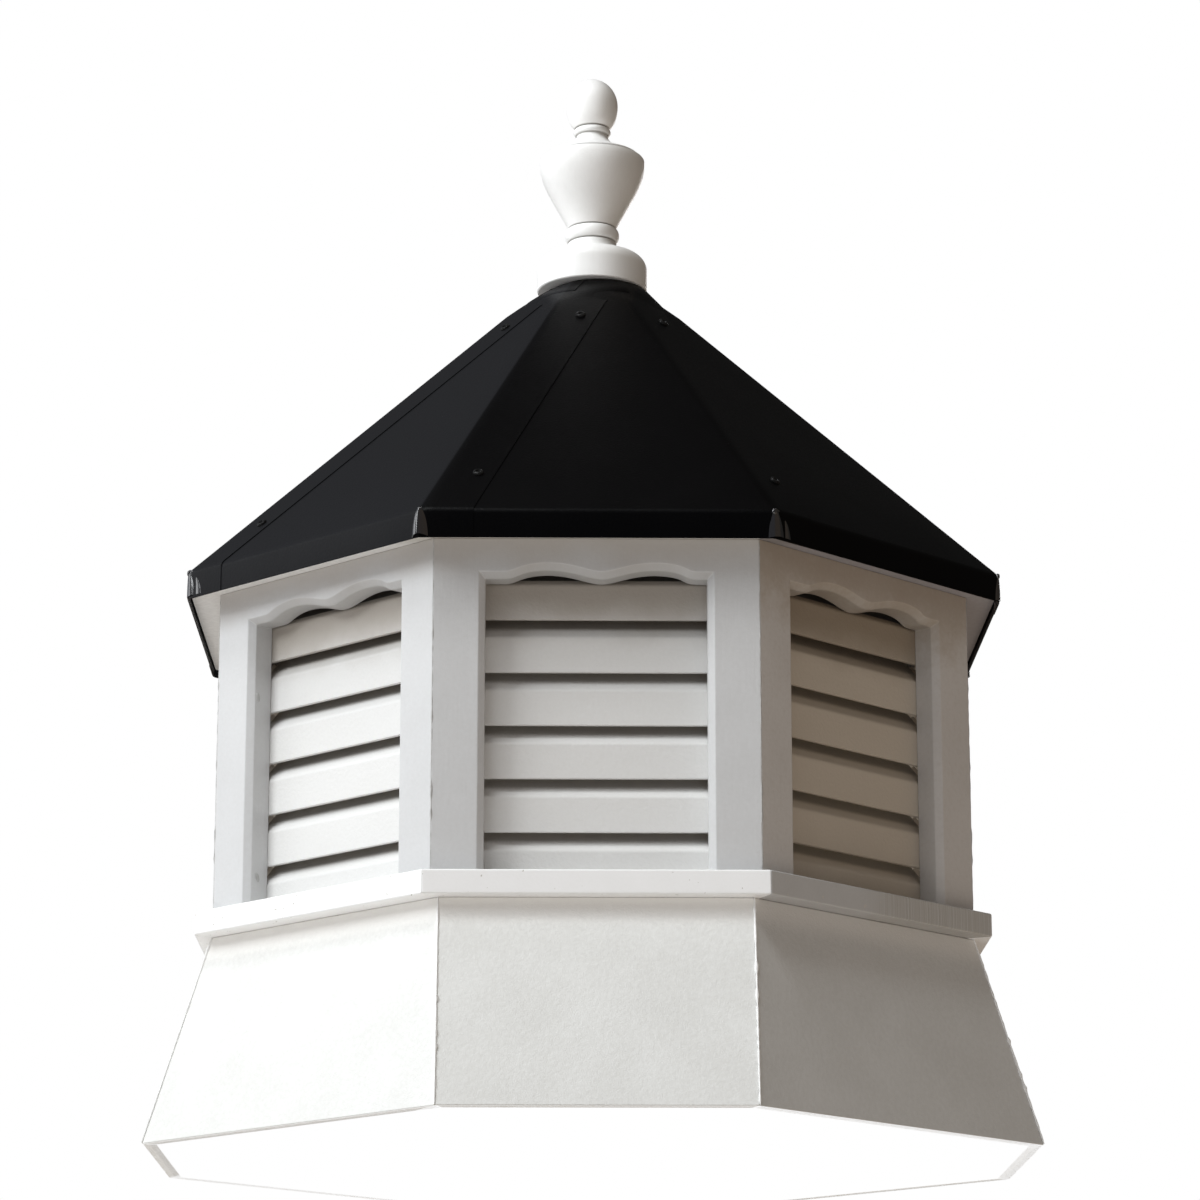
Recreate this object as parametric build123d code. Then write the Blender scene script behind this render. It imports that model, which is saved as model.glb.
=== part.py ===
from build123d import *
import os
from math import cos, pi, sin, tan

os.makedirs("parts", exist_ok=True)

# An eight-sided roof cupola: a flared skirt, a mitred sill, eight louvred walls with a
# double-scalloped head, a soffit, a folded sheet roof on a deck, and a turned finial.
# Z is up, the front looks towards -Y, and the origin is at the middle of the resting edge.
# Lengths are in millimetres and angles in degrees.

SIDES = 8
SIDE_NAMES = ["front", "front_right", "right", "back_right", "back", "back_left", "left", "front_left"]
HALF_TURN = 180.0 / SIDES
touching = 0.01             # an edge this near to a face lies on it

# walls
wall_apothem = 305.0        # axis to the outer face of a wall
wall_thickness = 22.0
wall_height = 263.0         # sill to soffit
opening_half_width = 86.0
opening_corner_height = 231.5   # sill to the flat at each end of the scalloped head
scallop_rise = 7.0
scallop_left_flat = 15.0    # end of the opening to the start of the pattern, which was cut a little to the right
scallop_right_flat = 7.0
scallop_peak_offset = 40.0  # middle of the pattern to each peak
scallop_crown_width = 45.0  # of each crown at half its rise
opening_chamfer = 5.0

# louvres
louver_count = 6
louver_pitch = 42.0
louver_lowest_gap = 35.5    # sill to the lower edge of the second louvre
louver_face_height = 26.0   # lower edge to the start of the bend
louver_thickness = 4.0
louver_lean_degrees = 42.0  # the upper leaf leans back this far from upright
louver_overlap = 9.0        # the upper leaf rises this far behind the louvre above
louver_bend_radius = 4.5
louver_end_lap = 10.0       # each end laps this far behind the stile
louver_head_clearance = 3.0

# sill
sill_projection = 14.0      # beyond the wall face
sill_width = 57.0
sill_thickness = 19.0
sill_easing = 1.5

# skirt
skirt_height = 165.0
skirt_setback = 13.5        # sill edge to the top of the four square-on panels
skirt_flare = 52.0          # those panels lean out this far by their lower edge
skirt_panel_width = 240.0   # of those panels, the same from top to bottom
skirt_thickness = 12.0

# eaves and roof
eave_projection = 26.0      # drip edge beyond the wall face
drip_height = 22.5
drip_drop = 6.5             # drip edge below the soffit
sheet_thickness = 2.0
soffit_thickness = 12.0
deck_thickness = 12.0
board_gap = 0.5             # between the boards of the soffit and of the deck
king_block_height = 40.0    # block under the finial that the deck boards meet
hip_lap = 40.0              # each sheet laps this far over the next one
roof_top_above_eave = 288.0

# finial
base_radius = 47.5
base_height = 33.0
base_rounding = 14.0
roof_top_inset = 2.5        # the roof's corners stop this far inside the finial base
foot_radius = 32.0
foot_cove_height = 12.0
waist_radius = 21.0
bead_radius = 23.5
bead_height = 13.0
urn_radius = 45.0
urn_height = 57.0           # bead to the rim
rim_height = 8.0            # upright side of the rim
shoulder_height = 9.0       # rim to the lip round the neck
lip_radius = 23.0
lip_step = 1.5
neck_cove_height = 12.0
neck_radius = 14.0
neck_height = 1.0
collar_radius = 16.5
collar_height = 6.0
ball_seat_radius = 15.5
ball_radius = 22.0
ball_lower_height = 21.5    # seat to the widest level: the ball is fuller below than above
ball_upper_height = 25.0

# levels and radii that follow
sill_bottom = skirt_height
sill_top = sill_bottom + sill_thickness
wall_top = sill_top + wall_height
drip_bottom = wall_top - drip_drop
drip_top = drip_bottom + drip_height
roof_top = drip_top + roof_top_above_eave
sill_apothem = wall_apothem + sill_projection
skirt_top_apothem = sill_apothem - skirt_setback
skirt_bottom_apothem = skirt_top_apothem + skirt_flare
eave_apothem = wall_apothem + eave_projection
roof_top_apothem = (base_radius - roof_top_inset) * cos(HALF_TURN * pi / 180)
roof_slope = roof_top_above_eave / (eave_apothem - roof_top_apothem)
block_size = 4 * max(eave_apothem, skirt_bottom_apothem, roof_top)


def outward(side):
    """Horizontal direction out of a side, the front being side 0 and the rest following to its right."""
    angle = (side * 2 * HALF_TURN - 90) * pi / 180
    return Vector(cos(angle), sin(angle), 0)


def level(z, up=True):
    return Plane(origin=(0, 0, z), z_dir=(0, 0, 1 if up else -1))


def face(side, apothem, z=0.0, rise_over_run=None):
    """Outer plane of a side; with rise_over_run it slopes up towards the axis."""
    normal = outward(side)
    point = normal * apothem + Vector(0, 0, z)
    if rise_over_run is not None:
        normal = (normal * rise_over_run + Vector(0, 0, 1)).normalized()
    return Plane(origin=point, z_dir=normal)


def inset(plane, distance):
    """The same plane moved inwards."""
    return Plane(origin=plane.origin - plane.z_dir * distance, z_dir=plane.z_dir)


def facing_back(plane):
    return Plane(origin=plane.origin, z_dir=plane.z_dir * -1)


def meeting_point(first, second, z):
    """Where two upright or leaning planes cross at one level."""
    a, b = first.z_dir, second.z_dir
    p = a.dot(first.origin) - a.Z * z
    q = b.dot(second.origin) - b.Z * z
    size = a.X * b.Y - a.Y * b.X
    return Vector((p * b.Y - q * a.Y) / size, (a.X * q - b.X * p) / size, z)


def mitre(mine, neighbour, z):
    """The plane that halves the corner between two faces, looking towards the neighbour."""
    return Plane(origin=meeting_point(mine, neighbour, z), z_dir=neighbour.z_dir - mine.z_dir)


def solid_within(*planes):
    """The convex solid that lies behind every plane."""
    block = Box(block_size, block_size, block_size)
    for plane in planes:
        block = split(block, bisect_by=plane, keep=Keep.BOTTOM)
    return block.solid()


def mitred_board(face_of, side, thickness, bottom, top, gap=0.0):
    """A board of one side, mitred to both neighbours; face_of gives each side's outer plane."""
    outer = face_of(side)
    mitres = [inset(mitre(outer, face_of(side + step), bottom), gap / 2) for step in (-1, 1)]
    return solid_within(outer, facing_back(inset(outer, thickness)), *mitres,
                        level(bottom, up=False), level(top))


def on_side(side, shape):
    """Turn a shape made for the front round to another side."""
    return Rot(0, 0, side * 2 * HALF_TURN) * shape


def save(name, shape):
    shape.label = name
    export_step(shape, f"parts/{name}.step")


def skirt_face(side):
    """Square-on panels keep one width, so the panels between them widen and lean less."""
    square_on = side % 2 == 0
    half = skirt_panel_width / 2
    top = skirt_top_apothem if square_on else (skirt_top_apothem + half) / 2 ** 0.5
    bottom = skirt_bottom_apothem if square_on else (skirt_bottom_apothem + half) / 2 ** 0.5
    return face(side, bottom, 0, skirt_height / (bottom - top))


def make_wall_panel():
    board = mitred_board(lambda side: face(side, wall_apothem), 0, wall_thickness, sill_top, wall_top)
    left, right = scallop_left_flat - opening_half_width, opening_half_width - scallop_right_flat
    middle, corner = (left + right) / 2, opening_corner_height
    peak, halfway = corner + scallop_rise, corner + scallop_rise / 2
    near = scallop_peak_offset - scallop_crown_width / 2
    far = scallop_peak_offset + scallop_crown_width / 2
    with BuildSketch(Plane(origin=(0, -wall_apothem, sill_top), x_dir=(1, 0, 0), z_dir=(0, -1, 0))) as opening:
        with BuildLine():
            Polyline((right, corner), (opening_half_width, corner), (opening_half_width, 0),
                     (-opening_half_width, 0), (-opening_half_width, corner), (left, corner))
            Spline((left, corner), (middle - far, halfway), (middle - scallop_peak_offset, peak),
                   (middle - near, halfway), (middle, corner), (middle + near, halfway),
                   (middle + scallop_peak_offset, peak), (middle + far, halfway), (right, corner),
                   tangents=((1, 0), (1, 0)))
        make_face()
    board -= extrude(opening.sketch, amount=wall_thickness, both=True)
    rim = [edge for edge in board.edges()
           if abs(edge.center().Y + wall_apothem) < touching
           and abs(edge.center().X) < opening_half_width + touching
           and sill_top + touching < edge.center().Z < wall_top - touching]
    return board.chamfer(opening_chamfer, None, rim)


def make_louver(bottom, lowest, highest):
    """One bent louvre: an upright face, a rounded bend and a leaf that leans back and up."""
    lean = louver_lean_degrees * pi / 180
    front = -wall_apothem + wall_thickness
    bend_height = bottom + louver_face_height
    outside, inside = louver_bend_radius, louver_bend_radius - louver_thickness
    leaf = (louver_pitch + louver_overlap - louver_face_height - outside * sin(lean)) / cos(lean)
    length = 2 * (opening_half_width + louver_end_lap)

    def bent(radius, turn, along=0.0):
        """A point of the bend, or a length along the leaf that follows it."""
        return (front + outside - radius * cos(turn) + along * sin(turn),
                bend_height + radius * sin(turn) + along * cos(turn))

    with BuildSketch(Plane.YZ.offset(-length / 2)) as section:
        with BuildLine():
            Line((front, bottom), bent(outside, 0))
            ThreePointArc(bent(outside, 0), bent(outside, lean / 2), bent(outside, lean))
            Polyline(bent(outside, lean), bent(outside, lean, leaf), bent(inside, lean, leaf), bent(inside, lean))
            ThreePointArc(bent(inside, lean), bent(inside, lean / 2), bent(inside, 0))
            Polyline(bent(inside, 0), (front + louver_thickness, bottom), (front, bottom))
        make_face()
    louver = extrude(section.sketch, amount=length)
    louver = split(louver, bisect_by=level(lowest), keep=Keep.TOP)
    return split(louver, bisect_by=level(highest), keep=Keep.BOTTOM).solid()


def make_louver_set():
    """Louvres one above another; the lowest stands on the sill and the highest stops under the soffit."""
    highest = wall_top - louver_head_clearance
    lowest_full = sill_top + louver_lowest_gap - louver_pitch
    return [make_louver(lowest_full + place * louver_pitch, sill_top, highest)
            for place in range(louver_count)]


def make_sill_board():
    board = mitred_board(lambda side: face(side, sill_apothem), 0, sill_width, sill_bottom, sill_top)
    outer_edges = [edge for edge in board.edges()
                   if abs(edge.center().Y + sill_apothem) < touching and abs(edge.center().X) < touching]
    return board.fillet(sill_easing, outer_edges)


def roof_face(side):
    return face(side, eave_apothem, drip_top, roof_slope)


def make_soffit():
    """Mitred boards on top of the walls, out to the fold of the roof sheets."""
    reach = eave_apothem - sheet_thickness
    width = reach - sill_apothem + sill_width
    return [mitred_board(lambda side: face(side, reach), side, width, wall_top, wall_top + soffit_thickness,
                         board_gap) for side in range(SIDES)]


def make_deck():
    """Tapered boards from the soffit up to a block that carries the finial."""
    deck_bottom = wall_top + soffit_thickness
    boards = []
    for side in range(SIDES):
        board = mitred_board(lambda number: inset(roof_face(number), sheet_thickness), side, deck_thickness,
                             deck_bottom, roof_top, board_gap)
        trimmed = split(board, bisect_by=face(side, eave_apothem - sheet_thickness), keep=Keep.BOTTOM)
        boards.append(trimmed.solid())
    inside = [inset(roof_face(side), sheet_thickness + deck_thickness + board_gap) for side in range(SIDES)]
    king_block = solid_within(*inside, level(roof_top - king_block_height, up=False), level(roof_top))
    return boards + [king_block]


def make_roof_panel():
    """A sheet folded down at the eave, with a lap over the hip onto the panel to its right."""
    top, drip = roof_face(0), face(0, eave_apothem)
    next_top, next_drip = roof_face(1), face(1, eave_apothem)
    last_top, last_drip = roof_face(-1), face(-1, eave_apothem)
    t = sheet_thickness
    limits = (inset(next_top, -t), inset(next_drip, -t), inset(last_top, t), inset(last_drip, t))
    sheet = solid_within(top, facing_back(inset(top, t)), drip, level(roof_top), *limits)
    fold = solid_within(drip, facing_back(inset(drip, t)), top, level(drip_bottom, up=False), *limits)
    hip = top.z_dir.cross(next_top.z_dir)
    across = hip.cross(next_top.z_dir).normalized()
    if across.dot(outward(1).rotate(Axis.Z, 90)) < 0:
        across = across * -1
    corner = meeting_point(drip, next_drip, drip_top)
    lap_edge = Plane(origin=corner + across * hip_lap, z_dir=across)
    lap = solid_within(inset(next_top, -t), facing_back(next_top), top, lap_edge,
                       inset(next_drip, -t), level(roof_top))
    along_eave = outward(1).rotate(Axis.Z, 90)
    drip_lap = hip_lap / across.dot(along_eave)
    lap_end = Plane(origin=corner + along_eave * drip_lap, z_dir=along_eave)
    lap_fold = solid_within(inset(next_drip, -t), facing_back(next_drip), drip, lap_end,
                            inset(next_top, -t), level(drip_bottom, up=False))
    return (sheet + fold + lap + lap_fold).solid()


def make_finial_base():
    disc = Pos(0, 0, roof_top) * Cylinder(base_radius, base_height, align=(Align.CENTER, Align.CENTER, Align.MIN))
    return fillet(disc.edges().filter_by(GeomType.CIRCLE).sort_by(Axis.Z)[-1], base_rounding)


def make_finial():
    """A turned finial: coved foot, bead, urn with an upright rim, coved neck, collar and ball."""
    foot = roof_top + base_height
    waist = foot + foot_cove_height
    bead = waist + bead_height / 2
    urn_bottom = waist + bead_height
    rim = urn_bottom + urn_height
    rim_top = rim + rim_height
    lip = rim_top + shoulder_height
    neck = lip + neck_cove_height
    collar = neck + neck_height
    collar_top = collar + collar_height
    ball = collar_top + ball_lower_height
    top = ball + ball_upper_height
    bend = cos(pi / 4)
    quarter = 4 / 3 * tan(pi / 8)   # handle length of a curve that follows a quarter ellipse
    with BuildSketch(Plane.XZ) as profile:
        with BuildLine():
            Polyline((0, top), (0, foot), (foot_radius, foot))
            ThreePointArc((foot_radius, foot),
                          (foot_radius - (foot_radius - waist_radius) * bend, waist - foot_cove_height * bend),
                          (waist_radius, waist))
            ThreePointArc((waist_radius, waist), (bead_radius, bead), (waist_radius, urn_bottom))
            Bezier((waist_radius, urn_bottom), (urn_radius * 0.67, urn_bottom + urn_height * 0.36),
                   (urn_radius, urn_bottom + urn_height * 0.72), (urn_radius, rim))
            Polyline((urn_radius, rim), (urn_radius, rim_top), (lip_radius, lip),
                     (lip_radius - lip_step, lip + lip_step))
            ThreePointArc((lip_radius - lip_step, lip + lip_step),
                          (neck_radius + (lip_radius - lip_step - neck_radius) * (1 - bend),
                           neck - (neck_cove_height - lip_step) * bend),
                          (neck_radius, neck))
            Polyline((neck_radius, neck), (neck_radius, collar))
            Polyline((neck_radius, collar), (collar_radius, collar), (collar_radius, collar_top),
                     (ball_seat_radius, collar_top))
            Bezier((ball_seat_radius, collar_top),
                   (ball_seat_radius * 0.4 + ball_radius * 0.6, collar_top + ball_lower_height * 0.16),
                   (ball_radius, ball - ball_lower_height * 0.45), (ball_radius, ball))
            Bezier((ball_radius, ball), (ball_radius, ball + ball_upper_height * quarter),
                   (ball_radius * quarter, top), (0, top))
        make_face()
    return revolve(profile.sketch, Axis.Z)


wall_panel = make_wall_panel()
louver_set = make_louver_set()
sill_board = make_sill_board()
roof_panel = make_roof_panel()
for number, side_name in enumerate(SIDE_NAMES):
    save(f"skirt_panel_{side_name}",
         mitred_board(skirt_face, number, skirt_thickness, 0, skirt_height))
    save(f"sill_board_{side_name}", on_side(number, sill_board))
    save(f"wall_panel_{side_name}", on_side(number, wall_panel))
    save(f"louver_set_{side_name}", Compound([on_side(number, louver) for louver in louver_set]))
    save(f"roof_panel_{side_name}", on_side(number, roof_panel))
save("soffit", Compound(make_soffit()))
save("roof_deck", Compound(make_deck()))
save("finial_base", make_finial_base())
save("finial", make_finial())
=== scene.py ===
"""An eight-sided garage cupola: a flared skirt, a mitred sill, louvred walls with scalloped heads, a folded
black sheet roof and a turned finial. Metres, Z up, and the front looks towards -Y."""

import bmesh
import bpy
import random
from math import atan2, cos, pi, radians, sin, tan
from mathutils import Matrix, Vector


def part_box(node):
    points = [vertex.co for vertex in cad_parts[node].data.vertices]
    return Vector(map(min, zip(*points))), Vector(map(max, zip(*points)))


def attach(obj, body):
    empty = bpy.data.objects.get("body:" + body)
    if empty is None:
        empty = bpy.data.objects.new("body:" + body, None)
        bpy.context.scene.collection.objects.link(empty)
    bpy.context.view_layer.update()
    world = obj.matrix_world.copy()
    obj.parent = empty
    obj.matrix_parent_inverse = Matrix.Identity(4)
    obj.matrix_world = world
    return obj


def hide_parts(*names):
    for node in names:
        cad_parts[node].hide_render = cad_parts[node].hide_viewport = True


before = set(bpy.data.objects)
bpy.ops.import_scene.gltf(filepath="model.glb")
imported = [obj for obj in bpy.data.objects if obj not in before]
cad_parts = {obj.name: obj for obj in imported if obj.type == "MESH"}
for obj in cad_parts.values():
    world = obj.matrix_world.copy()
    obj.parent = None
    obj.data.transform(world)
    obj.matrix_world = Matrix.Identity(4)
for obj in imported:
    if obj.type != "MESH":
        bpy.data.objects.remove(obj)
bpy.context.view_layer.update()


# Camera: a long lens well below the eaves and a little to the left of the middle, looking up at the louvres as
# someone on the ground would.
looking_up, turned_right = radians(14.48), radians(0.785)
bpy.ops.object.camera_add(location=(-0.0391, -3.355, -0.390),
                          rotation=(radians(90) + looking_up, 0, -turned_right))
camera = bpy.context.object
camera.data.lens = 122.34
camera.data.sensor_width = 36
camera.data.clip_end = 60
bpy.context.scene.camera = camera


# Skirt: eight boards of rough-faced exterior sheet, cut to a flare and mitred at the corners, painted white.
# Their arrises are eased with a rasp, and a bead of paint-filled sealant runs down each corner.
SIDES = ["front", "front_right", "right", "back_right", "back", "back_left", "left", "front_left"]
SIDE_TURN = 2 * pi / len(SIDES)


class Shade:
    """A value in a material's nodes. Sums written with it add Math nodes, so a finish reads as arithmetic."""

    def __init__(self, tree, socket):
        self.tree = tree
        self.socket = socket

    def node(self, kind, settings=None, inputs=None, output=0):
        """Add a node: its settings first, then what each of its sockets holds or is linked to."""
        made = self.tree.nodes.new(kind)
        for name, value in (settings or {}).items():
            setattr(made, name, value)
        for name, value in (inputs or {}).items():
            if isinstance(value, Shade):
                self.tree.links.new(value.socket, made.inputs[name])
            else:
                made.inputs[name].default_value = value
        return Shade(self.tree, made.outputs[output])

    def sum_with(self, operation, first, second):
        return self.node("ShaderNodeMath", {"operation": operation}, {0: first, 1: second})

    def __add__(self, other):
        return self.sum_with("ADD", self, other)

    def __sub__(self, other):
        return self.sum_with("SUBTRACT", self, other)

    def __mul__(self, other):
        return self.sum_with("MULTIPLY", self, other)

    def __rsub__(self, other):
        return self.sum_with("SUBTRACT", other, self)

    __radd__ = __add__
    __rmul__ = __mul__

    def grain(self, size, detail=2, stretch=(1, 1, 1)):
        """Cloudy noise about a middle of one half, with features of this size in metres."""
        spread = self.node("ShaderNodeVectorMath", {"operation": "DIVIDE"}, {0: self, 1: stretch})
        return self.node("ShaderNodeTexNoise", None, {"Vector": spread, "Scale": 1 / size, "Detail": detail})

    def part_along(self, direction):
        """How far along a direction the place is, in metres."""
        return self.node("ShaderNodeVectorMath", {"operation": "DOT_PRODUCT"}, {0: self, 1: direction}, 1)

    def rise(self, low, high):
        """Nothing below low, all above high, and a smooth change between."""
        return self.node("ShaderNodeMapRange", {"interpolation_type": "SMOOTHSTEP"},
                         {"Value": self, "From Min": low, "From Max": high})

    def between(self, first, second):
        """The first colour where this is nothing and the second where it is all."""
        return self.node("ShaderNodeMix", {"data_type": "RGBA"}, {0: self, 6: first, 7: second}, 2)

    def relief(self, depth):
        """A surface this many metres deep between its low and high places."""
        return self.node("ShaderNodeBump", None, {"Height": self, "Distance": depth})

    def into(self, shader, socket):
        """Let this value drive a socket of a surface's shader."""
        self.tree.links.new(self.socket, shader.inputs[socket])


def new_finish(name, **fixed):
    """A surface's material: its shader with the fixed values set, and the place on the piece for patterns."""
    material = bpy.data.materials.new(name)
    material.use_nodes = True
    shader = material.node_tree.nodes["Principled BSDF"]
    for socket, value in fixed.items():
        shader.inputs[socket.replace("_", " ")].default_value = value
    place = material.node_tree.nodes.new("ShaderNodeTexCoord")
    return material, shader, Shade(material.node_tree, place.outputs["Object"])


def only(piece):
    """Make one piece the selected and active one."""
    bpy.ops.object.select_all(action="DESELECT")
    piece.select_set(True)
    bpy.context.view_layer.objects.active = piece


def finished(piece, name, finish, slot, *stands_for):
    """Name a piece, fix it to the cupola and give it its one finish. It may stand for some of the solids."""
    piece.name = piece.data.name = name
    piece.data.materials.clear()
    piece.data.materials.append(finish)
    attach(piece, "root")
    if stands_for:
        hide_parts(*stands_for)


def eased_board(node, arris):
    """A copy of a board with its sharp arrises worn round, ready to be finished."""
    only(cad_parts[node])
    bpy.ops.object.duplicate()
    piece = bpy.context.object
    piece.parent = None
    for note in list(piece.keys()):
        del piece[note]
    bpy.ops.mesh.customdata_custom_splitnormals_clear()
    bpy.ops.object.mode_set(mode="EDIT")
    bpy.ops.mesh.select_all(action="SELECT")
    bpy.ops.mesh.remove_doubles(threshold=0.00001)
    bpy.ops.mesh.dissolve_limited(angle_limit=radians(0.2))
    bpy.ops.object.mode_set(mode="OBJECT")
    bpy.ops.object.modifier_add(type="BEVEL")
    bevel = piece.modifiers[-1]
    bevel.width = arris
    bevel.segments = 2
    bevel.angle_limit = radians(35)
    bpy.ops.object.modifier_apply(modifier=bevel.name)
    bpy.ops.object.shade_smooth()
    bpy.ops.object.modifier_add(type="WEIGHTED_NORMAL")
    bpy.ops.object.modifier_apply(modifier=piece.modifiers[-1].name)
    return piece


def shade_away_side(place, paint, shade_tint, by_facing=False):
    """This paint, darkened as painted shade on the four boards on the side away from the lights, from the front
    right one round to the back. They are told by where a point is, or by the way its board faces."""
    away_from_lights = 1.5 * SIDE_TURN        # from straight back, round to the right
    told_by = place.node("ShaderNodeNewGeometry", output=1) if by_facing else place
    on_shaded_side = told_by.part_along((sin(away_from_lights), cos(away_from_lights), 0)).rise(-0.001, 0.001)
    return on_shaded_side.between(paint, on_shaded_side.node("ShaderNodeMix", {"data_type": "RGBA", "blend_type": "MULTIPLY"},
                                               {0: 1.0, 6: paint, 7: shade_tint}, 2))


skirt_finish, skirt_shader, place = new_finish("rough_white_sheet", Roughness=0.62, Specular_IOR_Level=0.3)
pitted = place.grain(0.0035, 3)
clouds = place.grain(0.05, 4)
skirt_tone = (pitted - 0.5) * 0.5 + (clouds - 0.5) * 0.5 + 0.5
mottled = skirt_tone.rise(0.2, 0.8).between((0.70, 0.70, 0.675, 1), (0.79, 0.795, 0.775, 1))
skirt_low, skirt_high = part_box("skirt_panel_front")
sill_light_top = skirt_high[2] - 0.007     # painted light: the boards are fully lighter above this height, just under the sill, where its shade falls
painted_light_under_sill = (place.part_along((0, 0, 1)) + (pitted - 0.5) * 0.006).rise(sill_light_top - 0.020, sill_light_top)
coated = painted_light_under_sill.between(mottled, (0.90, 0.885, 0.85, 1))
# painted shade: the boards facing away from the lights are darker
shade_away_side(place, coated, (0.81, 0.81, 0.815, 1), by_facing=True).into(skirt_shader, "Base Color")
(pitted * 0.6 + place.grain(0.0012, 2) * 0.4).relief(0.00045).into(skirt_shader, "Normal")

for side in SIDES:
    node = f"skirt_panel_{side}"
    finished(eased_board(node, arris=0.0012), f"skirt_board_{side}", skirt_finish, "skirt_sheet", node)


def pick(test):
    """In edit mode, select the corners that pass a test of their place, with the edges and faces between them."""
    bpy.ops.mesh.select_mode(type="VERT")
    bpy.ops.mesh.select_all(action="DESELECT")
    mesh = bmesh.from_edit_mesh(bpy.context.object.data)
    for corner in mesh.verts:
        corner.select = test(corner.co)
    mesh.select_flush(True)
    bmesh.update_edit_mesh(bpy.context.object.data)


def draw_out(shift):
    """Draw the selected edges out into a new strip."""
    bpy.ops.mesh.extrude_edges_move(TRANSFORM_OT_translate={"value": shift})


def shade_soft(piece, angle):
    """Smooth a piece's faces wherever they meet at less than this angle in degrees."""
    only(piece)
    bpy.ops.object.shade_smooth_by_angle(angle=radians(angle))


def bead(foot, head, radius, seed, rings=48):
    """A run of sealant from foot to head, squeezed on by hand, so it swells and thins as it goes."""
    chance = random.Random(seed)
    end_width = 0.4
    run = Vector(head) - Vector(foot)
    bpy.ops.object.select_all(action="DESELECT")
    bpy.ops.mesh.primitive_circle_add(vertices=8, radius=radius * end_width, fill_type="NGON")
    piece = bpy.context.object
    bpy.ops.object.mode_set(mode="EDIT")
    bpy.ops.mesh.select_all(action="SELECT")
    width = end_width
    for ring in range(1, rings + 1):
        next_width = chance.uniform(0.55, 1.0) + (0.7 if chance.random() < 0.1 else 0)
        if ring == rings:
            next_width = end_width
        bpy.ops.mesh.extrude_region_move(TRANSFORM_OT_translate={"value": (0, 0, run.length / rings)})
        bpy.ops.transform.resize(value=(next_width / width, next_width / width, 1))
        width = next_width
    bpy.ops.mesh.select_all(action="SELECT")
    bpy.ops.mesh.normals_make_consistent(inside=False)
    bpy.ops.object.mode_set(mode="OBJECT")
    piece.location = foot
    piece.rotation_euler = run.to_track_quat("Z", "Y").to_euler()
    bpy.ops.object.transform_apply(location=True, rotation=True, scale=True)
    shade_soft(piece, 60)
    return piece


def turned_to(piece, turns):
    """Turn a piece round the cupola by this many sides, and leave the turn in its mesh."""
    only(piece)
    piece.rotation_euler = (0, 0, turns * SIDE_TURN)
    bpy.ops.object.transform_apply(location=True, rotation=True, scale=True)
    return piece


def copied(piece):
    """A copy of a piece, with its own mesh."""
    only(piece)
    bpy.ops.object.duplicate()
    return bpy.context.object


skirt_setback = 0.0135                # edge of the sill to the top of a board
board_top = -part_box("sill_board_front")[0][1] - skirt_setback
bead_finish, bead_shader, place = new_finish("bright_sealant", Roughness=0.35)
place.grain(0.003, 3).between((0.80, 0.80, 0.785, 1), (0.93, 0.93, 0.92, 1)).into(bead_shader, "Base Color")
for hand, name in ((1, "right"), (-1, "left")):
    foot = (hand * skirt_high[0], skirt_low[1], 0.001)
    head = (hand * skirt_high[0], -board_top, skirt_high[2])
    first = bead(foot, head, radius=0.0011, seed=5 + hand)
    for turns in (0, 2, 4, 6):
        finished(turned_to(copied(first), turns), f"skirt_bead_{SIDES[turns]}_{name}", bead_finish, "skirt_sheet")
    bpy.data.objects.remove(first)


# Sill: eight mitred lengths of planed trim board that overhang the skirt and carry the walls. They are painted
# white, over chipped specks and, on two of them, the marks of a blunt saw.
def sill_paint(name, saw_marks):
    """White trim paint with a few chipped specks; saw marks show across part of a badly cut board."""
    finish, shader, place = new_finish(name, Roughness=0.5)
    brushed = place.grain(0.02, 4) * 0.6 + place.grain(0.002, 2) * 0.4
    specks = place.grain(0.0042, 2).rise(0.70, 0.73)
    low, high = (0.46, 0.54) if saw_marks else (0.86, 0.93)
    coat = brushed.between((low, low, low - 0.01, 1), (high, high, high, 1))
    painted = specks.between(coat, (0.55, 0.53, 0.49, 1))
    ridges = place.grain(0.002, 3) * 0.15
    if saw_marks:
        along = place.part_along((cos(SIDE_TURN), sin(SIDE_TURN), 0))
        strokes = along.node("ShaderNodeTexNoise", {"noise_dimensions": "1D"},
                             {"W": along, "Scale": 520, "Detail": 2})
        sawn = (along + (place.grain(0.03, 2) - 0.5) * 0.04).rise(-0.03, 0.02)
        grey = (strokes.rise(0.35, 0.62) * sawn * 0.7).between(painted, (0.36, 0.345, 0.315, 1))
        painted = (sawn * 0.35).between(grey, (0.46, 0.44, 0.40, 1))
        ridges = ridges + strokes * sawn
    painted.into(shader, "Base Color")
    ridges.relief(0.0005).into(shader, "Normal")
    return finish


planed, badly_cut = sill_paint("sill_paint", False), sill_paint("saw_marked_sill_paint", True)
for side in SIDES:
    node = f"sill_board_{side}"
    finish = badly_cut if side in ("front_right", "back_left") else planed
    finished(eased_board(node, arris=0.0008), f"sill_{side}", finish, "sill_paint", node)


# Walls: one board a side, mitred and caulked at the corners, with a scalloped opening whose edge is chamfered.
# They are brushed with satin white paint, darkened as painted shade under the eave, on what faces down and on the
# side away from the lights.
wall_low, wall_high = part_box("wall_panel_front")
wall_top = wall_high[2]
wall_finish, wall_shader, place = new_finish("wall_paint", Roughness=0.42)
clouds = place.grain(0.05, 4) * 0.6 + place.grain(0.003, 2) * 0.4
painted = clouds.between((0.515, 0.515, 0.51, 1), (0.63, 0.635, 0.64, 1))
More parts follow.
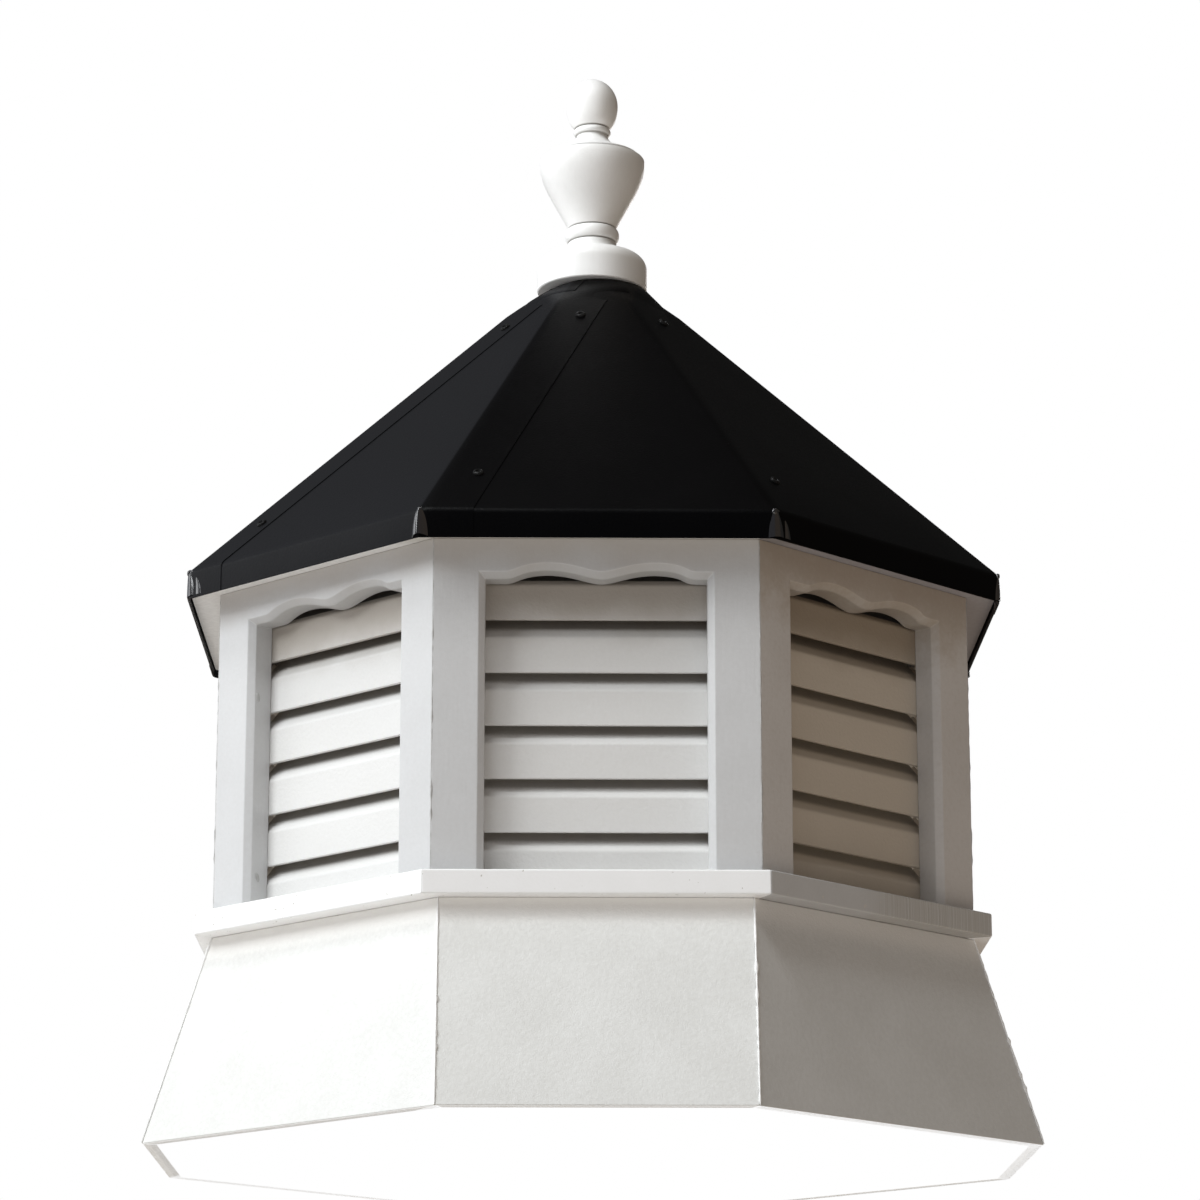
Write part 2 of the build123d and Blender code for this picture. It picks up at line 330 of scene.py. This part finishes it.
# painted shade under the eave: the paint grows darker and browner towards the top of the wall
wall_eave_shade = (place.part_along((0, 0, 1)) + (place.grain(0.04, 3) - 0.5) * 0.03).rise(wall_top - 0.034, wall_top)
shaded_paint = (wall_eave_shade * 0.42).between(painted, (0.44, 0.38, 0.32, 1))
# painted shade on whatever faces down, such as the undersides of the scallops
faces_down_shade = place.node("ShaderNodeNewGeometry", output=1).part_along((0, 0, -1)).rise(0.3, 0.8)
shaded_paint = (faces_down_shade * 0.34).between(shaded_paint, (0.20, 0.185, 0.165, 1))
# painted shade on the side away from the lights: warmer and darker, mottled, and darkest under the eave
height = place.part_along((0, 0, 1)) + (place.grain(0.02, 3) - 0.5) * 0.05
right_eave_shade = height.rise(wall_top - 0.075, wall_top - 0.015) + (place.grain(0.0035, 3) - 0.5) * 0.7
right_side_shade = right_eave_shade.between((1.0, 0.96, 0.92, 1), (0.75, 0.66, 0.565, 1))
shade_away_side(place, shaded_paint, right_side_shade).into(wall_shader, "Base Color")
brush_marks = place.grain(0.0025, 2) * 0.5 + place.grain(0.002, 3, (1, 1, 14)) * 0.5
brush_marks.relief(0.0002).into(wall_shader, "Normal")

for side in SIDES:
    node = f"wall_panel_{side}"
    finished(eased_board(node, arris=0.0008), f"wall_{side}", wall_finish, "wall_paint", node)

caulk_finish, caulk_shader, place = new_finish("corner_caulk", Roughness=0.55)
place.grain(0.006, 3).between((0.25, 0.245, 0.235, 1), (0.62, 0.62, 0.61, 1)).into(caulk_shader, "Base Color")
mitre_x, mitre_y = wall_high[0] - 0.0002, wall_low[1] + 0.0006
foot, head = (mitre_x, mitre_y, wall_low[2] + 0.0005), (mitre_x, mitre_y, wall_top - 0.0005)
first = bead(foot, head, radius=0.00075, seed=11)
for turns, side in enumerate(SIDES):
    finished(turned_to(copied(first), turns), f"wall_caulk_{side}", caulk_finish, "wall_paint")
bpy.data.objects.remove(first)

# two oval plugs of filler over the nails in the far jamb of the front left opening, a little proud and tilted
jamb = -0.0860                        # the opening's left side, from its middle
for name, depth, height, tilt in (("upper", 0.0080, 0.356, 12), ("lower", 0.0112, 0.209, 20)):
    bpy.ops.object.select_all(action="DESELECT")
    bpy.ops.mesh.primitive_cylinder_add(vertices=28, radius=0.0042, depth=0.0014)
    plug = bpy.context.object
    bpy.ops.object.mode_set(mode="EDIT")
    pick(lambda at: at.z > 0)
    bpy.ops.transform.resize(value=(0.85, 0.85, 1))
    bpy.ops.mesh.bevel(offset=0.0005, segments=2, affect="EDGES")
    bpy.ops.mesh.select_all(action="SELECT")
    bpy.ops.transform.resize(value=(1, 0.45, 1))
    bpy.ops.object.mode_set(mode="OBJECT")
    faced_right = Matrix.Rotation(radians(90), 4, "Y")
    plug.rotation_euler = (Matrix.Rotation(radians(tilt), 4, "X") @ faced_right).to_euler()
    plug.location = (jamb, wall_low[1] + depth, height)
    bpy.ops.object.transform_apply(location=True, rotation=True, scale=True)
    shade_soft(plug, 50)
    finished(turned_to(plug, -1), f"nail_plug_{name}", caulk_finish, "wall_paint")


# Louvres: six bent slats a side, held behind each opening and painted a slightly warmer white. Painted shade
# darkens
# # the slats under the eave, each leaf above its bend and the slats on the side away from the lights, and the
# # topmost leaf is painted near black as shade, which shows as a dark sliver under the crowns of the scallops.
louver_pitch = 0.042
louver_bend = 0.0212                  # from the foot of the wall to the lowest bend
top_bend = wall_top - 0.0280
louver_finish, louver_shader, place = new_finish("louver_paint", Roughness=0.5)
clouds = place.grain(0.035, 4, (2.5, 2.5, 1)) * 0.6 + place.grain(0.0025, 2) * 0.4
painted = clouds.between((0.645, 0.64, 0.62, 1), (0.735, 0.735, 0.725, 1))
eave_shade = wall_top - 0.087, wall_top - 0.039   # where the painted shade under the eave starts and is full
height = place.part_along((0, 0, 1)) + (place.grain(0.03, 3) - 0.5) * 0.02
painted = (height.rise(*eave_shade) * 0.75).between(painted, (0.26, 0.215, 0.165, 1))
# painted shade: the louvres facing away from the lights are warmer and darker
painted = shade_away_side(place, painted, (0.76, 0.68, 0.58, 1))
# painted shade: each leaf is darkened a little above its bend, where the slat above shades it
above_lowest = place.part_along((0, 0, 1)) - (wall_low[2] + louver_bend) + 0.0012 * (place.grain(0.002, 3) - 0.5)
pitches = place.node("ShaderNodeMath", {"operation": "FRACT"}, {0: above_lowest * (1 / louver_pitch)})
above_bend = pitches * louver_pitch
on_leaf = place.node("ShaderNodeNewGeometry", output=1).part_along((0, 0, 1)).rise(0.4, 0.6)
leaf_shade = on_leaf * above_bend.rise(0.0055, 0.0105) * 0.62
painted = leaf_shade.between(painted, (0.12, 0.105, 0.085, 1))
# painted shade: above the top bend the leaf is painted near black, standing in for the shade behind the head
top_leaf_shade = place.part_along((0, 0, 1)).rise(top_bend, top_bend + 0.0012)
top_leaf_shade.between(painted, (0.03, 0.027, 0.024, 1)).into(louver_shader, "Base Color")
place.grain(0.003, 3).relief(0.0003).into(louver_shader, "Normal")

for side in SIDES:
    node = f"louver_set_{side}"
    finished(eased_board(node, arris=0.0007), f"louvers_{side}", louver_finish, "louver_paint", node)


# Soffit and deck: the boards that close the eave and carry the roof sheets. The soffit is speckled white, with
# # painted shade at its front edge and on the side away from the lights, and the deck is bare plywood that nobody
# sees.
soffit_finish, soffit_shader, place = new_finish("soffit_paint", Roughness=0.7)
speckled_and_shaded = place.grain(0.004, 3).between((0.62, 0.61, 0.59, 1), (0.84, 0.83, 0.81, 1))
# painted shade at the front edge of the soffit and on the side away from the lights
speckled_and_shaded = place.part_along((0, -1, 0)).rise(0.28, 0.30).between(speckled_and_shaded, (0.56, 0.54, 0.50, 1))
shade_away_side(place, speckled_and_shaded, (0.42, 0.40, 0.42, 1)).into(soffit_shader, "Base Color")
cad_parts["soffit"].data.materials.clear()
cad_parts["soffit"].data.materials.append(soffit_finish)

deck_finish, deck_shader, place = new_finish("deck_wood", Roughness=0.8)
place.grain(0.004, 4, (1, 1, 8)).between((0.32, 0.2, 0.11, 1), (0.5, 0.35, 0.2, 1)).into(deck_shader, "Base Color")
roof_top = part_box("roof_deck")[1][2]
deck_top = roof_top - 0.035           # cut away above this, so that the sheets can be dressed in
deck = eased_board("roof_deck", arris=0.0005)
bpy.ops.object.mode_set(mode="EDIT")
bpy.ops.mesh.select_all(action="SELECT")
bpy.ops.mesh.bisect(plane_co=(0, 0, deck_top), plane_no=(0, 0, 1), use_fill=True, clear_outer=True)
bpy.ops.object.mode_set(mode="OBJECT")
finished(deck, "deck_boards", deck_finish, "deck_wood", "roof_deck")


# Roof sheets: eight pieces of black coated steel, each folded down at the eave, lapped over the hip onto the next
# one to its right, and dressed in under the finial's base. The folds are soft and each lap stands a little proud.
sheet_thickness = 0.0006
lap_width, lap_strips = 0.0417, 7
lap_lift = 0.0007
tuck_depth = 0.0008                   # the left edge of a sheet goes in under its neighbour's lap
eave_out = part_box("soffit")[1][0] + 0.002
drip_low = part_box("roof_panel_front")[0][2]
drip_height = 0.0225
fold_height = drip_low + drip_height
half_corner = tan(SIDE_TURN / 2)
top_out = (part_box("finial_base")[1][0] - 0.0025) * cos(SIDE_TURN / 2)
roof_fall = (roof_top - fold_height) / (eave_out - top_out)
sheet_face = Vector((0, -roof_fall, 1)).normalized()
to_next = Matrix.Rotation(SIDE_TURN, 3, "Z")
along_next, next_face = to_next @ Vector((1, 0, 0)), to_next @ sheet_face

# the flat of the sheet, drawn up the slope from its eave edge, then on over the hip as the lap
bpy.ops.object.select_all(action="DESELECT")
bpy.ops.mesh.primitive_plane_add(size=2 * eave_out * half_corner,
                                 location=(0, eave_out * half_corner - eave_out, fold_height))
sheet = bpy.context.object
bpy.ops.object.transform_apply(location=True)
bpy.ops.object.mode_set(mode="EDIT")
pick(lambda at: at.y > 0.001 - eave_out)
bpy.ops.mesh.delete(type="VERT")
bpy.ops.mesh.select_mode(type="EDGE")
bpy.ops.mesh.select_all(action="SELECT")
bpy.ops.mesh.subdivide(number_cuts=5)
out = eave_out
for next_out in (0.27, 0.2, 0.14, 0.1, 0.0745):
    draw_out((0, out - next_out, (out - next_out) * roof_fall))
    bpy.ops.transform.resize(value=(next_out / out, 1, 1), center_override=(0, 0, 0))
    out = next_out
flat_top = fold_height + (eave_out - out) * roof_fall
pick(lambda at: at.x > -at.y * half_corner - 0.0001)
bpy.ops.mesh.select_mode(type="EDGE")
for strip in range(lap_strips):
    draw_out(along_next * lap_width / lap_strips)
pick(lambda at: at.x > -at.y * half_corner + 0.001)
bpy.ops.transform.translate(value=next_face * lap_lift)
pick(lambda at: at.x < at.y * half_corner + 0.0001)
bpy.ops.transform.translate(value=sheet_face * -tuck_depth)

# the drip fold at the eave, with every fold made round
pick(lambda at: at.z < fold_height + 0.002)
bpy.ops.mesh.select_mode(type="EDGE")
draw_out((0, 0, drip_low - fold_height))
bpy.ops.transform.resize(value=(1, 1, 0), center_override=(0, 0, drip_low))
bpy.ops.mesh.select_all(action="SELECT")
bpy.ops.mesh.normals_make_consistent(inside=False)
bpy.ops.mesh.select_all(action="DESELECT")
bpy.ops.mesh.edges_select_sharp(sharpness=radians(22))
bpy.ops.mesh.bevel(offset=0.003, segments=3, affect="EDGES")

# the flare that dresses the sheet in under the finial's base, as rings of a radius and a height, with the lean of
# each to the right, because the base sits a little to the left of the roof's middle
flare = ((0.0600, roof_top - 0.0169, 0.0008), (0.0520, roof_top - 0.0098, 0.0025),
         (0.0450, roof_top - 0.0040, 0.0045), (0.0400, roof_top - 0.0007, 0.0060))
flare_low, flare_middle, flare_sweep, flare_steps = flare[0][1], 0.048, radians(97.5), 16
pick(lambda at: at.z > flat_top - 0.002 and at.x < at.y * half_corner + 0.0006)
bpy.ops.mesh.duplicate()
start = [corner.co.copy() for corner in bmesh.from_edit_mesh(sheet.data).verts if corner.select][0]
last = start
for radius, height, lean in flare:
    point = Vector((-radius * sin(SIDE_TURN / 2), -radius * cos(SIDE_TURN / 2), height))
    if last is start:
        bpy.ops.transform.translate(value=point - last)
    else:
        bpy.ops.mesh.extrude_vertices_move(TRANSFORM_OT_translate={"value": point - last})
    last = point
pick(lambda at: at.z > flare_low - 0.0005)
bpy.ops.mesh.spin(steps=flare_steps, angle=-flare_sweep, center=(0, 0, 0), axis=(0, 0, 1))
pick(lambda at: flat_top - 0.002 < at.z < flare_low + 0.0005)
bpy.ops.mesh.select_mode(type="EDGE")
bpy.ops.mesh.bridge_edge_loops(number_cuts=2, interpolation="LINEAR")
for step in range(flare_steps + 1):
    turn = step / flare_steps * flare_sweep - SIDE_TURN / 2
    pick(lambda at: at.z > flare_low - 0.0005 and abs(atan2(at.x, -at.y) - turn) < radians(1))
    grown = 1 + (0.0013 * step / flare_steps - 0.0005) / flare_middle
    bpy.ops.transform.resize(value=(grown, grown, 1), center_override=(0, 0, 0))
bpy.ops.mesh.select_all(action="SELECT")
bpy.ops.mesh.normals_make_consistent(inside=False)
bpy.ops.object.mode_set(mode="OBJECT")

roof_finish, roof_shader, place = new_finish("black_coated_sheet", Specular_IOR_Level=0.045)
cloudy = place.grain(0.05, 4)
coated = cloudy.between((0.0004, 0.0004, 0.0006, 1), (0.0014, 0.0014, 0.0017, 1))
toward_lights = 1.5 * SIDE_TURN             # from straight back, round to the left, the side towards the lights, where the sheets are painted lighter and bluer as a painted sheen
painted_sheen = place.part_along((-sin(toward_lights), cos(toward_lights), 0)).rise(-0.001, 0.001)
painted_sheen.between(coated, (0.0085, 0.0087, 0.0098, 1)).into(roof_shader, "Base Color")
(place.grain(0.0016, 2) * 0.25 + 0.26).into(roof_shader, "Roughness")
(place.grain(0.11, 1) * 0.9 + place.grain(0.0016, 2) * 0.1).relief(0.0012).into(roof_shader, "Normal")
for turns, side in enumerate(SIDES):
    piece = turned_to(copied(sheet), turns)
    bpy.ops.object.mode_set(mode="EDIT")
    for radius, height, lean in flare:
        pick(lambda at: abs(at.z - height) < 0.0012)
        bpy.ops.transform.translate(value=(lean, 0, 0))
    bpy.ops.object.mode_set(mode="OBJECT")
    bpy.ops.object.modifier_add(type="SOLIDIFY")
    gauge = piece.modifiers[-1]
    gauge.thickness = sheet_thickness
    gauge.offset = -1
    bpy.ops.object.modifier_apply(modifier=gauge.name)
    shade_soft(piece, 24)
    finished(piece, f"roof_sheet_{side}", roof_finish, "roof_metal", f"roof_panel_{side}")
bpy.data.objects.remove(sheet)


# Corner folds: at each eave corner the spare metal of the drip is gathered into a smooth pleat, narrow at some
# corners and spread over the lap with a flute or two at others, with a crumpled knob at its point.
def corner_fold(before, after, flutes, bulge):
    """A pleat that spreads this far each way from the corner along the drip's lower edge."""
    corner_out = eave_out / cos(SIDE_TURN / 2) - 0.0012
    steps = 48
    bpy.ops.object.select_all(action="DESELECT")
    bpy.ops.mesh.primitive_plane_add(size=0.002, location=(0, -corner_out, drip_low))
    piece = bpy.context.object
    bpy.ops.object.transform_apply(location=True)
    bpy.ops.object.mode_set(mode="EDIT")
    pick(lambda at: at.x > 0 or at.y > -corner_out)
    bpy.ops.mesh.delete(type="VERT")
    bpy.ops.mesh.select_all(action="SELECT")
    last = Vector((-0.001, -corner_out - 0.001, drip_low))
    for step in range(steps + 1):
        share = step / steps
        along = share * (before + after) - before
        steep = sin(pi * share ** 0.7)
        proud = bulge * steep ** 0.8 * (1 + 0.25 * cos(2 * pi * flutes * share))
        back = abs(along) * sin(SIDE_TURN / 2) - proud
        point = Vector((along * cos(SIDE_TURN / 2), back - corner_out,
                        drip_low + 0.0004 + 0.0018 * sin(pi * share)))
        if step == 0:
            bpy.ops.transform.translate(value=point - last)
        else:
            bpy.ops.mesh.extrude_vertices_move(TRANSFORM_OT_translate={"value": point - last})
        last = point
    bpy.ops.mesh.select_all(action="SELECT")
    bpy.ops.mesh.select_mode(type="EDGE")
    # drawn up and in, by shares of the drip's height and of the width at its foot
    height, width = 0, 1
    for next_height, next_width in ((0.12, 0.985), (0.25, 0.955), (0.38, 0.915), (0.5, 0.86), (0.61, 0.79),
                                    (0.71, 0.705), (0.80, 0.60), (0.88, 0.47), (0.94, 0.33), (0.985, 0.17)):
        draw_out((0, 0, (next_height - height) * (fold_height - drip_low)))
        shrink = next_width / width
        bpy.ops.transform.resize(value=(shrink, shrink, 1), center_override=(0, -corner_out, 0))
        height, width = next_height, next_width
    bpy.ops.mesh.select_all(action="SELECT")
    bpy.ops.mesh.normals_make_consistent(inside=False)
    bpy.ops.object.mode_set(mode="OBJECT")
    bpy.ops.object.modifier_add(type="SOLIDIFY")
    gauge = piece.modifiers[-1]
    gauge.thickness = sheet_thickness
    gauge.offset = 0
    bpy.ops.object.modifier_apply(modifier=gauge.name)
    bpy.ops.object.mode_set(mode="EDIT")
    bpy.ops.mesh.select_all(action="DESELECT")
    bpy.ops.mesh.primitive_ico_sphere_add(subdivisions=3, radius=0.0022,
                                          location=(0.0003, -corner_out - 0.0002, fold_height - 0.0008))
    bpy.ops.transform.vertex_random(offset=0.0004, seed=3)
    bpy.ops.transform.resize(value=(1, 0.75, 1.15))
    bpy.ops.object.mode_set(mode="OBJECT")
    shade_soft(piece, 50)
    return piece


fold_finish, fold_shader, place = new_finish("folded_glossy_black", Specular_IOR_Level=1.0)
place.grain(0.004, 3).between((0.003, 0.003, 0.004, 1), (0.007, 0.007, 0.009, 1)).into(fold_shader, "Base Color")
(place.grain(0.01, 2) * 0.12 + 0.14).into(fold_shader, "Roughness")
place.grain(0.009, 1).relief(0.0002).into(fold_shader, "Normal")
narrow_fold = corner_fold(before=0.0074, after=0.0086, flutes=0, bulge=0.0040)
wide_fold = corner_fold(before=0.0060, after=0.0265, flutes=3, bulge=0.0019)
for turns, side in enumerate(SIDES):
    pattern = narrow_fold if side in ("front_left", "right", "back") else wide_fold
    finished(turned_to(copied(pattern), turns + 0.5), f"corner_fold_{side}", fold_finish, "roof_metal")
for pattern in (narrow_fold, wide_fold):
    bpy.data.objects.remove(pattern)


# Roof screws: two black pan-head screws through each lap into the deck, one near the eave and one near the top.
# Each head is turned steel with a shallow socket, painted to match the sheets.
bpy.ops.object.select_all(action="DESELECT")
bpy.ops.mesh.primitive_cylinder_add(vertices=32, radius=0.0043, depth=0.0022, location=(0, 0, 0.0009))
screw = bpy.context.object
bpy.ops.object.transform_apply(location=True)
bpy.ops.object.mode_set(mode="EDIT")
pick(lambda at: at.z > 0.001)
bpy.ops.mesh.bevel(offset=0.0012, segments=4, affect="EDGES")
pick(lambda at: at.z > 0.0019)
bpy.ops.mesh.inset(thickness=0.0012)
bpy.ops.mesh.extrude_region_move(TRANSFORM_OT_translate={"value": (0, 0, -0.0009)})
bpy.ops.transform.resize(value=(0.75, 0.75, 1))
bpy.ops.object.mode_set(mode="OBJECT")
shade_soft(screw, 40)
screw_from_hip = 0.0282
screw_levels = {"upper": 0.699, "lower": 0.503}
screw_finish, screw_shader, place = new_finish("screw_black", Specular_IOR_Level=0.08)
place.grain(0.001, 2).between((0.006, 0.006, 0.006, 1), (0.014, 0.014, 0.014, 1)).into(screw_shader, "Base Color")
(place.grain(0.001, 2) * 0.3 + 0.1).into(screw_shader, "Roughness")
for turns, side in enumerate(SIDES):
    for level, height in screw_levels.items():
        out = eave_out - (height - fold_height) / roof_fall
        piece = copied(screw)
        piece.rotation_euler = sheet_face.to_track_quat("Z", "Y").to_euler()
        piece.location = Vector((screw_from_hip - out * half_corner, -out, height)) + sheet_face * lap_lift
        bpy.ops.object.transform_apply(location=True, rotation=True, scale=True)
        finished(turned_to(piece, turns + 1), f"roof_screw_{side}_{level}", screw_finish, "roof_metal")
bpy.data.objects.remove(screw)


# Finial and its base: turned from solid stock and painted white with a brush. The base is a thick disc with a
# rounded top; the finial has a coved foot, a bead, an urn with a ring round its shoulder, a neck and a ball.
def bow(across, up, wide, high, first, last, steps):
    """Points on the curve of a moulding: part of an ellipse, from one angle to another in degrees."""
    turns = [radians(first + (last - first) * step / steps) for step in range(steps + 1)]
    return [(across + wide * cos(turn), up + high * sin(turn)) for turn in turns]


def sweep(first, second, third, fourth, steps):
    """Points on a long easy curve drawn from first to fourth, towards the two between them."""
    points = []
    for step in range(steps + 1):
        t = step / steps
        weights = ((1 - t) ** 3, 3 * t * (1 - t) ** 2, 3 * t * t * (1 - t), t ** 3)
        points.append(tuple(sum(weight * point[axis] for weight, point in
                                zip(weights, (first, second, third, fourth))) for axis in (0, 1)))
    return points


def turned(outline):
    """Turn a shape on the lathe, ring by ring up its outline of radius and height, closed at both ends."""
    radius, height = outline[0]
    bpy.ops.object.select_all(action="DESELECT")
    bpy.ops.mesh.primitive_circle_add(vertices=96, radius=radius, fill_type="NGON", location=(0, 0, height))
    piece = bpy.context.object
    bpy.ops.object.transform_apply(location=True)
    bpy.ops.object.mode_set(mode="EDIT")
    bpy.ops.mesh.select_all(action="SELECT")
    for next_radius, next_height in outline[1:]:
        bpy.ops.mesh.extrude_region_move(TRANSFORM_OT_translate={"value": (0, 0, next_height - height)})
        grown = next_radius / radius
        bpy.ops.transform.resize(value=(grown, grown, 1), center_override=(0, 0, next_height))
        radius, height = next_radius, next_height
    bpy.ops.mesh.select_all(action="SELECT")
    bpy.ops.mesh.normals_make_consistent(inside=False)
    bpy.ops.object.mode_set(mode="OBJECT")
    return piece


finial_finish, finial_shader, place = new_finish("finial_paint", Specular_IOR_Level=0.4)
base_low, base_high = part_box("finial_base")
foot = base_high[2]
brushed = place.grain(0.0022, 3, (1, 1, 16))
painted = (place.grain(0.018, 3) * 0.6 + brushed * 0.4).between((0.80, 0.80, 0.785, 1), (0.92, 0.92, 0.91, 1))
# painted shade: the finial is darker on its side away from the lights
finial_right_shade = place.node("ShaderNodeNewGeometry", output=1).part_along((0.95, -0.31, 0)).rise(0.35, 0.95)
painted = (finial_right_shade * 0.55).between(painted, (0.42, 0.405, 0.37, 1))
height = place.part_along((0, 0, 1))
# painted shade round each groove, at a height above the disc and a little way up and down from there
groove_shade = 0
for groove, spread in ((0.0003, 0.0012), (0.0125, 0.0010), (0.0250, 0.0012),
                       (0.0885, 0.0012), (0.1112, 0.0012), (0.1180, 0.0010)):
    level = foot + groove
    groove_shade = groove_shade + height.rise(level - spread, level) - height.rise(level, level + spread)
(groove_shade * 0.8).between(painted, (0.24, 0.225, 0.20, 1)).into(finial_shader, "Base Color")
(place.grain(0.012, 2) * 0.25 + 0.3).into(finial_shader, "Roughness")
(brushed * 0.4 + place.grain(0.0015, 2) * 0.6).relief(0.00025).into(finial_shader, "Normal")

wide, under, over = base_high[0], base_low[2], base_high[2]
disc_round = 0.0135
disc = turned([(wide - 0.0008, under), (wide, under + 0.0008)]
              + bow(wide - disc_round, over - disc_round, disc_round, disc_round, 0, 88, 14) + [(0.03, over)])
shade_soft(disc, 40)
finished(disc, "finial_disc", finial_finish, "finial_paint", "finial_base")

# the coved foot and the bead that stands on it
profile = bow(0.032, foot + 0.012, 0.011, 0.012, -90, -176, 10)
profile += [(0.0196, foot + 0.0125)]
profile += bow(0.0202, foot + 0.0187, 0.0033, 0.0058, -80, 80, 12)
profile += [(0.0192, foot + 0.0249)]
# the urn, out to its rim, then the ring round its shoulder and the shoulder itself, drawn in to the neck
profile += sweep((0.0207, foot + 0.0253), (0.0302, foot + 0.0455),
                 (0.0452, foot + 0.066), (0.0455, foot + 0.082), 18)
profile += [(0.0456, foot + 0.0872), (0.0450, foot + 0.0881), (0.0412, foot + 0.0883), (0.0396, foot + 0.0886)]
profile += bow(0.0398, foot + 0.0903, 0.0018, 0.0016, -80, 80, 8)
profile += [(0.0370, foot + 0.0925), (0.0320, foot + 0.0955)]
profile += sweep((0.0300, foot + 0.0966), (0.0200, foot + 0.1010),
                 (0.0142, foot + 0.1055), (0.0136, foot + 0.1108), 14)
# the collar on the neck, then the ball on its stem
profile += bow(0.0136, foot + 0.1145, 0.0026, 0.0030, -80, 80, 10)
profile += [(0.0138, foot + 0.1179)]
profile += sweep((0.0150, foot + 0.1182), (0.0196, foot + 0.1215),
                 (0.0224, foot + 0.1300), (0.0224, foot + 0.1390), 12)
profile += bow(0, foot + 0.1390, 0.0224, 0.0245, 5, 88.5, 18)
urn = turned(profile)
shade_soft(urn, 40)
finished(urn, "turned_finial", finial_finish, "finial_paint", "finial")


# Studio: a pale floor under the cupola, soft lights from the left, from above and from behind, in a dim warm room.
# The camera stands lower than the floor, so the floor shows from above only and lets nothing through to the piece.
bpy.context.scene.view_settings.view_transform = "Standard"

half_base, half_board = -skirt_low[1], skirt_high[0]
bpy.ops.object.select_all(action="DESELECT")
bpy.ops.mesh.primitive_plane_add(size=2 * half_base)
footprint = bpy.context.object
bpy.ops.object.mode_set(mode="EDIT")
bpy.ops.mesh.select_mode(type="VERT")
bpy.ops.mesh.select_all(action="SELECT")
bpy.ops.mesh.bevel(offset=half_base - half_board, affect="VERTICES")
bpy.ops.object.mode_set(mode="OBJECT")
floor = copied(footprint)
bpy.ops.object.mode_set(mode="EDIT")
bpy.ops.mesh.select_all(action="SELECT")
bpy.ops.mesh.delete(type="ONLY_FACE")
bpy.ops.mesh.select_all(action="SELECT")
bpy.ops.mesh.extrude_edges_move()
bpy.ops.transform.resize(value=(60, 60, 1))
bpy.ops.mesh.select_all(action="DESELECT")
mesh = bmesh.from_edit_mesh(floor.data)
for face in mesh.faces:
    face.select = face.normal.z < 0
bmesh.update_edit_mesh(floor.data)
bpy.ops.mesh.flip_normals()
bpy.ops.object.mode_set(mode="OBJECT")
floor.name, footprint.name = "studio_floor", "studio_floor_under_cupola"

for piece, below in ((floor, "ShaderNodeBsdfTransparent"), (footprint, "ShaderNodeEmission")):
    floor_finish, floor_shader, place = new_finish(f"pale_{piece.name}", Roughness=0.8)
    place.grain(0.5, 3).between((0.74, 0.74, 0.73, 1), (0.78, 0.78, 0.77, 1)).into(floor_shader, "Base Color")
    from_below = place.node("ShaderNodeNewGeometry", output=6)
    above = Shade(place.tree, floor_shader.outputs[0])
    both = place.node("ShaderNodeMixShader", None, {0: from_below, 1: above, 2: place.node(below)})
    both.into(place.tree.nodes["Material Output"], "Surface")
    piece.data.materials.append(floor_finish)
    piece.visible_diffuse = piece.visible_glossy = piece.visible_shadow = False

world = bpy.data.worlds.new("room")
bpy.context.scene.world = world
world.use_nodes = True
tree = world.node_tree
room = Shade(tree, tree.nodes.new("ShaderNodeTexCoord").outputs["Generated"])
upward, frontward = room.part_along((0, 0, 1)), room.part_along((0, -1, 0))
leftward = room.part_along((-0.8, -0.6, 0))
ground = leftward.rise(-0.6, 0.9).between((0.58, 0.46, 0.35, 1), (1.40, 1.38, 1.36, 1))
ground = upward.rise(-0.95, -0.65).between((0.38, 0.36, 0.33, 1), ground)
behind = leftward.rise(-0.3, 0.4).between((0.07, 0.068, 0.065, 1), (0.60, 0.62, 0.68, 1))
before = leftward.rise(-0.4, 0.6).between((0.24, 0.195, 0.155, 1), (0.18, 0.18, 0.19, 1))
walls = frontward.rise(-0.5, 0.2).between(behind, before)
glow = upward.rise(-0.5, -0.1).between(ground, walls)
dim = room.node("ShaderNodeBackground", None, {0: glow, 1: 1.0})
white = room.node("ShaderNodeBackground", None, {0: (1, 1, 1, 1), 1: 1.0})
seen = room.node("ShaderNodeLightPath")
room.node("ShaderNodeMixShader", None, {0: seen, 1: dim, 2: white}).into(tree.nodes["World Output"], "Surface")


def softbox(name, place, aim, size, watts, colour):
    """An upright soft light of this width and height that stands at one place and faces another."""
    bpy.ops.object.light_add(type="AREA", location=place)
    lamp = bpy.context.object
    lamp.name = name
    lamp.rotation_euler = (Vector(aim) - Vector(place)).to_track_quat("-Z", "Y").to_euler()
    lamp.data.shape = "RECTANGLE"
    lamp.data.size, lamp.data.size_y = size
    lamp.data.energy = watts
    lamp.data.color = colour
    lamp.visible_camera = False


softbox("key", (-3.90, -2.25, 3.32), (0, 0, 0.4), (2.4, 2.6), 200, (0.97, 1.0, 1.02))
softbox("overhead", (-1.20, -1.90, 4.40), (0, 0, 0.4), (1.6, 1.2), 95, (0.98, 1.0, 1.01))
softbox("side", (-3.9, 0.9, 1.6), (0, 0, 0.4), (2.0, 2.4), 30, (0.99, 1.0, 1.0))
softbox("back", (0.8, 3.6, 1.2), (0, 0, 0.4), (1.6, 1.6), 40, (1.0, 0.98, 0.95))
